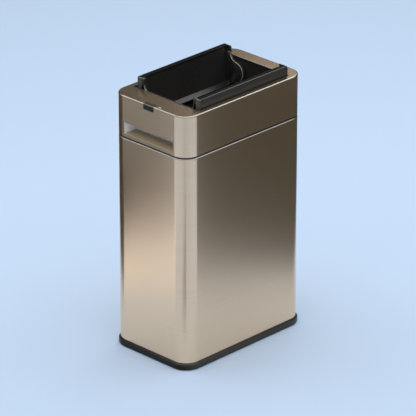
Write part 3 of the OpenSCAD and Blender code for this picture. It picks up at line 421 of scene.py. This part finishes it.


# The deck's tone and the darker, neutral tone of the rounded edges are painted light and shade
STEEL, DECK_PAINTED_TONE, BEND_PAINTED_SHADE = (1.0, 0.703, 0.470), (1.0, 0.76, 0.52), (0.34, 0.325, 0.305)
M = {
    "brushed_steel": brushed("brushed_steel", STEEL, DECK_PAINTED_TONE, BEND_PAINTED_SHADE, 0.27, 0.75),
    "zinc_sheet": moulded("zinc_sheet", (0.46, 0.46, 0.47), 0.42, 0.1, 300.0, 1.0),
    "black_moulding": moulded("black_moulding", (0.016, 0.0155, 0.015), 0.42, 0.15),
    # Tones of the sides, tops and ends of these plastics are painted light and shade
    "gloss_black": painted_by_facing("gloss_black", (0.046, 0.045, 0.042), (0.006, 0.006, 0.006), 0.12,
                            (0.080, 0.080, 0.080)),
    "tray_black": painted_by_facing("tray_black", (0.022, 0.022, 0.022), (0.016, 0.016, 0.016), 0.28),
    # Pale grey for the cheeks' rounded edges: a painted highlight
    "painted_highlight_edge": moulded("painted_highlight_edge", (0.40, 0.40, 0.40), 0.18, 0.02),
    "ring_black": painted_by_facing("ring_black", (0.056, 0.049, 0.039), (0.012, 0.012, 0.012), 0.34,
                           (0.018, 0.015, 0.011), 0.2, 0.3),
    "lens_dark": painted_by_facing("lens_dark", (0.016, 0.015, 0.014), (0.050, 0.038, 0.018), 0.08),
    "light_pipe": moulded("light_pipe", (0.80, 0.84, 0.86), 0.2, 0.02),
    "grey_moulding": moulded("grey_moulding", (0.09, 0.09, 0.095), 0.45, 0.15),
    "acetal": moulded("acetal", (0.78, 0.77, 0.72), 0.38, 0.05),
    "bright_steel": moulded("bright_steel", (0.70, 0.70, 0.71), 0.2, 0.05, 600.0, 1.0),
    "gear_brass": moulded("gear_brass", (0.72, 0.53, 0.24), 0.28, 0.05, 600.0, 1.0),
    "motor_can": moulded("motor_can", (0.52, 0.52, 0.54), 0.3, 0.06, 600.0, 1.0),
    "circuit_board": moulded("circuit_board", (0.02, 0.11, 0.05), 0.35, 0.1, 900.0),
    "cell_wrap": moulded("cell_wrap", (0.05, 0.05, 0.06), 0.25, 0.03),
    "foot_rubber": moulded("foot_rubber", (0.03, 0.03, 0.03), 0.75, 0.3, 1200.0),
    # Pale walls and brown bottom of the pocket: painted light and shade
    "pocket_steel": pressed("pocket_steel", (0.97, 0.92, 0.86), (0.36, 0.28, 0.17)),
}


def dress(obj, slot, body=None, replaced=(), mat=None):
    """Gives a piece its material, and the body that it moves with. Clearing resets the faces' material
    numbers, so only a piece that has materials is cleared."""
    if obj.data.materials:
        obj.data.materials.clear()
    obj.data.materials.append(M[mat or slot])
    if body:
        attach(obj, body)
        if replaced:
            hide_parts(*replaced)


for entry in frame["record"]["subparts"]:
    if entry["node"] in NODES:
        dress(NODES[entry["node"]], entry["material_slot"])

# Body: sleeve with its rolled rim, which is chamfered where it catches the light

rim = BODY_TOP - RIM_DROP
sleeve = [(0, BODY_LOW), (0, BODY_MIDDLE), (0, rim - 3.0), (0, rim - 2.0), (-0.08, rim - 1.75),
          (-0.2, rim - 1.55), (-1.3, rim - 0.24), (-1.5, rim - 0.06), (-1.75, rim), (-ROLL, rim),
          (-ROLL, rim - 6.0), (-ROLL + SHEET, rim - 6.0), (-ROLL + SHEET, rim - 1.0), (-3.0, rim - 1.2),
          (-1.2, rim - 3.0), (-SHEET, rim - 4.0), (-SHEET, BODY_MIDDLE), (-SHEET, BODY_LOW)]
dress(rings("sleeve", stacked(can_loop, sleeve)), "brushed_steel", "body", ["body_shell"])

# Base ring: rounded foot, sloped ledge, and a lip that stands inside the sleeve

lip_out = -SHEET - GAP
ring = [(RING_IN, RING_LOW)] + arc(RING_OUT - RING_R, RING_LOW + RING_R, RING_R, 270, 360, 5)
ring += [(RING_OUT, LEDGE_LOW - 0.1)] + arc(RING_OUT - LEDGE_R, LEDGE_LOW, LEDGE_R, 0, 55, 4)
ring += [(LEDGE_IN + 0.2, LEDGE_HIGH + 0.1)] + arc(LEDGE_IN, LEDGE_HIGH, LEDGE_END_R, 60, 180, 4)
ring += [(GAP, BODY_LOW), (lip_out, BODY_LOW), (lip_out, LIP_TOP - LIP_SOFT), (lip_out - LIP_SOFT, LIP_TOP),
         (LIP_IN + LIP_SOFT, LIP_TOP), (LIP_IN, LIP_TOP - LIP_SOFT), (LIP_IN, RING_FLOOR),
         (RING_IN, RING_FLOOR)]
foot_ring = rings("foot_ring", stacked(can_loop, ring))
seat = FOOT_R + GAP
carve(foot_ring, [post("well", sx * FOOT_X, sy * FOOT_Y, ((seat, RING_LOW - 2.0), (seat, FOOT_SEAT)))
                  for sx in (-1, 1) for sy in (-1, 1)])
dress(foot_ring, "black_moulding", "body", ["base_ring"], "ring_black")

# Head: one skin from the lower edge over the rounded edge to the opening and back, and the deck's studs

outside = [(0, HEAD_LOW), (0, HEAD_MIDDLE), (0, DECK - EDGE - EDGE_GUARD)]
outside += arc(-EDGE, DECK - EDGE, EDGE, 0, 90, 8) + [(-EDGE - EDGE_GUARD, DECK)]
hole = ((0.8, DECK), (0.3, DECK), (0, DECK - 0.3), (0, DECK - SHEET))
inside = arc(-EDGE, DECK - EDGE, EDGE - SHEET, 90, 0, 6) + [(-SHEET, HEAD_MIDDLE), (-SHEET, HEAD_LOW)]
head = rings("head_skin", stacked(can_loop, outside) + stacked(hole_loop, hole) + stacked(can_loop, inside))
half_w, half_l = LIGHT_W / 2 + GAP, LIGHT_L / 2 + GAP
carve(head, [
    block("cut_pocket", (-POCKET_W / 2, CAN_FRONT - OVERRUN, POCKET_LOW),
          (POCKET_W / 2, CAN_FRONT + 2 * SHEET, POCKET_HIGH), POCKET_R),
    block("cut_lens", (-LENS_W / 2 - GAP, CAN_FRONT - OVERRUN, LENS_LOW - GAP),
          (LENS_W / 2 + GAP, LENS_BACK + GAP, DECK + OVERRUN), 0.3, "z"),
    block("cut_light", (LIGHT_X - half_w, LIGHT_Y - half_l, DECK - OVERRUN),
          (LIGHT_X + half_w, LIGHT_Y + half_l, DECK + OVERRUN), half_l - 0.05, "z"),
    block("cut_panel", (-PANEL_W / 2 - GAP, CAN_BACK - OVERRUN, PANEL_LOW - GAP),
          (PANEL_W / 2 + GAP, CAN_BACK + OVERRUN, PANEL_HIGH + GAP), PANEL_R + GAP),
])
head.data.set_sharp_from_angle(angle=math.radians(35))
stud = ((STUD_R - 0.5, STUD_LOW), (STUD_R, STUD_LOW + 0.6), (STUD_R, DECK - 0.7))
studs = [post("stud", sx * STUD_X, sy * STUD_Y, stud) for sx in (-1, 1) for sy in (-1, 1)]
dress(joined("head_skin", [head] + studs), "brushed_steel", "head", ["head_shell"])

# Trim of the opening: a bead beside the edge of the deck, on a strip under it

trim = [(-GAP, DECK - GAP), (-0.5, DECK), (-1.2, DECK - 0.05), (-1.5, DECK - 0.4), (-1.5, TRIM_LOW),
        (TRIM_W, TRIM_LOW), (TRIM_W, DECK - SHEET - GAP), (-GAP, DECK - SHEET - GAP)]
dress(rings("opening_edge", stacked(hole_loop, trim)), "black_moulding", "head", ["opening_trim"])

# Grip pocket: tapered tub with soft inner edges, and a flange behind the sheet


def four_corners(half, y, low, high):
    return [(-half, y, low), (half, y, low), (half, y, high), (-half, y, high)]


corners = four_corners(POCKET_W / 2 - GAP, CAN_FRONT + SHEET, POCKET_LOW + GAP, POCKET_HIGH - GAP)
corners += four_corners(TUB_W / 2, TUB_BACK, TUB_LOW, TUB_HIGH)
tub = make("pocket_tub", corners, [(4, 5, 6, 7), (0, 1, 5, 4), (1, 2, 6, 5), (2, 3, 7, 6), (3, 0, 4, 7)])
bevel(tub, 1.4)
skin = tub.modifiers.new("skin", "SOLIDIFY")
skin.thickness = TUB_WALL * MM
skin.offset = 1.0
settle(tub)
front = CAN_FRONT + SHEET + GAP
flange = rings("flange", [[(x, y, z) for x, z in rounded(
    -POCKET_W / 2 - out, POCKET_LOW - out, POCKET_W / 2 + out, POCKET_HIGH + out, [POCKET_R + out] * 4, 6)]
    for out, y in ((0, front), (FLANGE, front), (FLANGE, front + TUB_WALL), (0, front + TUB_WALL))])
tub = joined("pocket_tub", [tub, flange])
tub.data.shade_flat()
dress(tub, "brushed_steel", "head", ["grip_pocket"], "pocket_steel")

# Sensor lens over the front edge of the deck

face, top = CAN_FRONT - LENS_PROUD, DECK + LENS_PROUD
bend = (face + LENS_R, top - LENS_R)
section = [(face, LENS_LOW)] + arc(*bend, LENS_R, 180, 90, 8)
section += [(LENS_BACK, top), (LENS_BACK, top - LENS_WALL)]
section += arc(*bend, LENS_R - LENS_WALL, 90, 180, 5) + [(face + LENS_WALL, LENS_LOW)]
lens = solid("lens_window", [[(x, y, z) for y, z in section] for x in (-LENS_W / 2, LENS_W / 2)])
bevel(lens, 0.35, 2, 50)
dress(lens, "lens_dark", "head", ["sensor_lens"])


# Wings, drawn open on the right and mirrored for the left

def wing_loops(side, steps):
    """Plan of the wing for each inset and depth."""
    loops = []
    for inset, depth in steps:
        plan = rounded(WING_Y[0] + inset, WING_U[0] + inset, WING_Y[1] - inset, WING_U[1] - inset,
                       [r - inset for r in WING_R], 10)
        loops.append([(side * (PIVOT[0] + depth), y, PIVOT[1] + u) for y, u in plan])
    return loops


def bar(side, outline, y0, y1):
    """Loops of an outline, given by depth and height above the pivot, that runs along the can."""
    return [[(side * (PIVOT[0] + d), y, PIVOT[1] + u) for d, u in outline] for y in (y0, y1)]


def notch(side, depth):
    """Cutter that opens the free edge of the wing between the cheeks, from a depth to the inner face."""
    xs = sorted((side * (PIVOT[0] + depth), side * (PIVOT[0] + INNER)))
    return block("cut", (xs[0], WING_Y[0] + CHEEK, PIVOT[1] + WING_U[1] - NOTCH),
                 (xs[1], WING_Y[1] - CHEEK, PIVOT[1] + WING_U[1] + OVERRUN))


def cheek_outline():
    """Round hub that runs into the straight rim by an arc tangent to both."""
    centre = DEEP - BLEND
    rise = math.sqrt((HUB + BLEND) ** 2 - centre ** 2)
    touch = math.degrees(math.atan2(rise, centre))
    outline = arc(0, 0, HUB, touch, HUB_END, 28)
    outline += [(DEEP, WING_U[0] + WEB_LOW), (SKIRT - LAP, WING_U[0] + WEB_HIGH), (SKIRT - LAP, rise),
                (DEEP, rise)]
    return outline + arc(centre, rise, BLEND, 360, touch + 180, 10)[1:-1]


def wing(side, name):
    body = name + "_wing"
    r = COVER_ROUND
    soft = [(r - r * math.sin(math.radians(a)), FACE - r + r * math.cos(math.radians(a)))
            for a in (0, 22.5, 45, 67.5, 90)]
    steps = [(r + EDGE_GUARD, FACE)] + soft
    steps += [(0, FACE - r - EDGE_GUARD), (0, SKIRT + 0.9), (0, SKIRT + 0.4), (0.3, SKIRT),
              (COVER_WALL - 0.3, SKIRT), (COVER_WALL, SKIRT + 0.3), (COVER_WALL, COVER_IN)]
    cover = solid("cover_" + name, wing_loops(side, steps), 50)
    carve(cover, [notch(side, SKIRT - 5.0)])
    shade(cover, 40)
    dress(cover, "gloss_black", body, [f"{name}_wing_cover"])

    inset = COVER_WALL + GAP
    panel = solid("panel", wing_loops(side, [(inset, COVER_IN - 2 * GAP), (inset, INNER + 0.5),
                                             (inset + 0.5, INNER)]))
    wall = rings("wall", wing_loops(side, [
        (TRAY_WALL, DEEP + 0.6), (TRAY_WALL - 0.4, DEEP + 0.1), (TRAY_WALL - 0.7, DEEP), (0.8, DEEP),
        (0.25, DEEP + 0.25), (0, DEEP + 0.8), (0, SKIRT - 0.3), (0.3, SKIRT - LAP), (inset, SKIRT - LAP),
        (inset, INNER + LAP), (TRAY_WALL, INNER + LAP)]))
    carve(wall, [notch(side, DEEP - 3.0)])
    lip = WING_U[0] + TRAY_WALL
    ledge = [(DEEP + 0.6, lip - LAP), (DEEP + 0.6, lip + 0.3), (INNER + LAP, lip + 6.0),
             (INNER + LAP, lip - LAP)]
    slope = solid("slope", bar(side, ledge, WING_Y[0] + CHEEK - LAP, WING_Y[1] - CHEEK + LAP))
    parts = [panel, wall, slope]
    for y in (WING_Y[0], WING_Y[1] - CHEEK):
        cheek = solid("cheek", bar(side, cheek_outline(), y, y + CHEEK))
        bevel(cheek, 0.8, 3, 40)
        # Faces of the rounded edges take the second material, a painted highlight
        for face in cheek.data.polygons:
            face.material_index = int(EDGE_FACING[0] < abs(face.normal.y) < EDGE_FACING[1])
        parts.append(cheek)
    tray = joined("tray_" + name, parts)
    shade(tray, 40)
    dress(tray, "black_moulding", body, [f"{name}_wing_frame"], "tray_black")
    # The second material is the painted highlight on the cheeks' rounded edges
    tray.data.materials.append(M["painted_highlight_edge"])


wing(-1, "left")
wing(1, "right")

# Floor

REACH = 9000.0
floor = make("floor", [(-REACH, -REACH, 0), (REACH, -REACH, 0), (REACH, REACH, 0), (-REACH, REACH, 0)],
             [(0, 1, 2, 3)])
floor.data.materials.append(plain("floor", (0.445, 0.567, 0.737))[0])

# Camera directions in metres: back runs from the can to the camera, right and toward lie on the floor

AZ, EL, DISTANCE = math.radians(44.497), math.radians(24.353), 9.383
AIM_RIGHT, AIM_UP = -0.001462, 0.3253
LENS = 341.2
back = Vector((math.sin(AZ) * math.cos(EL), -math.cos(AZ) * math.cos(EL), math.sin(EL)))
right = Vector((math.cos(AZ), math.sin(AZ), 0))
toward = Vector((math.sin(AZ), -math.cos(AZ), 0))


def spot(across, along, up):
    """Place to the right of the can, toward the camera and up."""
    return right * across + toward * along + Vector((0, 0, up))


# Cards and sheets that the steel mirrors, outside the picture's frame

# Heights between which a card's colour changes: painted light and shade on the card
FADE = (0.12, 0.32)


def only_in_reflections(obj):
    """Hides a card from the camera, and keeps it from shading or tinting the floor."""
    obj.visible_camera = obj.visible_shadow = obj.visible_diffuse = False


def ground_sheet(name, outline, up, color):
    """Sheet lying just above the floor; the outline lists places across and along."""
    obj = make(name, [tuple(c / MM for c in spot(a, b, up)) for a, b in outline], [(0, 1, 2, 3)])
    obj.data.materials.append(plain(name, color)[0])
    only_in_reflections(obj)


def card(name, across, along, width, height, low_color, high_color):
    """Upright card beside the can, seen from the can's side alone; its colour changes with the height,
    painted light and shade.
    """
    points = [tuple(spot(across, along + step * width / 2, up))
              for step, up in ((-1, 0), (1, 0), (1, height), (-1, height))]
    me = bpy.data.meshes.new(name)
    me.from_pydata(points, [], [(0, 1, 2, 3) if across > 0 else (3, 2, 1, 0)])
    obj = placed(name, me)
    mat, tree, bsdf = plain(name, low_color)
    at = add(tree, "ShaderNodeTexCoord").outputs["Object"]
    z = add(tree, "ShaderNodeSeparateXYZ", Vector=at).outputs["Z"]
    # Painted light and shade: colour by height
    tone = mix(tree, span(tree, z, *FADE), low_color, high_color)
    tree.links.new(tone, bsdf.inputs["Base Color"])
    behind = add(tree, "ShaderNodeNewGeometry").outputs["Backfacing"]
    clear = add(tree, "ShaderNodeBsdfTransparent").outputs[0]
    both = add(tree, "ShaderNodeMixShader", i0=behind, i1=bsdf.outputs[0], i2=clear).outputs[0]
    tree.links.new(both, tree.nodes["Material Output"].inputs["Surface"])
    obj.data.materials.append(mat)
    only_in_reflections(obj)


# A lighter sheet on the left: painted light on the floor as the steel mirrors it
ground_sheet("painted_light_sheet", ((-0.86, -1.1), (-0.58, -1.1), (-0.54, 0.3), (-0.86, 0.3)), 0.002,
             (0.84, 0.90, 1.0))
# A darker sheet further in front: painted shade, the floor's light falling off away from the can
ground_sheet("painted_shade_sheet", ((-0.4, 1.0), (0.4, 1.0), (0.5, 1.42), (-0.5, 1.42)), 0.002,
             (0.36, 0.45, 0.58))
# A dark strip in front: a painted shadow on the floor, seen in the steel
ground_sheet("front_strip", ((-0.26, 0.51), (-0.037, 0.51), (-0.05, 1.1), (-0.13, 1.1)), 0.003,
             (0.20, 0.22, 0.24))
card("card_left", -0.85, -0.3, 1.1, 0.8, (0.036, 0.039, 0.040), (0.34, 0.37, 0.39))
card("card_right", 0.53, -0.15, 0.8, 0.60, (0.112, 0.109, 0.103), (0.072, 0.076, 0.064))
card("flag_left", -0.55, -0.36, 0.80, 0.60, (0.05, 0.042, 0.032), (0.05, 0.042, 0.032))
card("flag_right", 0.55, -0.58, 0.70, 0.60, (0.025, 0.021, 0.016), (0.025, 0.021, 0.016))


# Lamps, world and camera

def lamp(name, place, aim, size, power):
    data = bpy.data.lights.new(name, "AREA")
    data.shape = "RECTANGLE"
    data.size, data.size_y = size
    data.energy = power
    obj = placed(name, data)
    obj.location = place
    obj.rotation_euler = (Vector(aim) - Vector(place)).to_track_quat("-Z", "Y").to_euler()


lamp("top_softbox", (0.1, -0.1, 4.5), (0, 0, 0.3), (9.0, 9.0), 480)
lamp("front_softbox", spot(0.3, 2.6, 1.9), (0, 0, 0.4), (1.4, 1.0), 2)
lamp("rear_softbox", spot(0.7, -2.5, 2.6), (0, 0, 0.3), (1.4, 1.2), 10)
lamp("left_softbox", spot(-1.9, -0.4, 2.2), (0, 0, 0.5), (1.8, 1.0), 10)
lamp("right_softbox", spot(1.9, -0.45, 2.2), (0, 0, 0.5), (1.8, 1.0), 10)

world = bpy.data.worlds.new("studio")
bpy.context.scene.world = world
world.use_nodes = True
world.node_tree.nodes["Background"].inputs["Color"].default_value = (0.90, 0.95, 1.0, 1)
world.node_tree.nodes["Background"].inputs["Strength"].default_value = 0.06

camera_data = bpy.data.cameras.new("camera")
camera_data.sensor_width = 36.0
camera_data.lens = LENS
camera_data.clip_end = 60.0
camera = placed("camera", camera_data)
camera.location = spot(AIM_RIGHT, 0, AIM_UP) + back * DISTANCE
camera.rotation_euler = (-back).to_track_quat("-Z", "Y").to_euler()
bpy.context.scene.camera = camera
bpy.context.scene.view_settings.view_transform = "Standard"
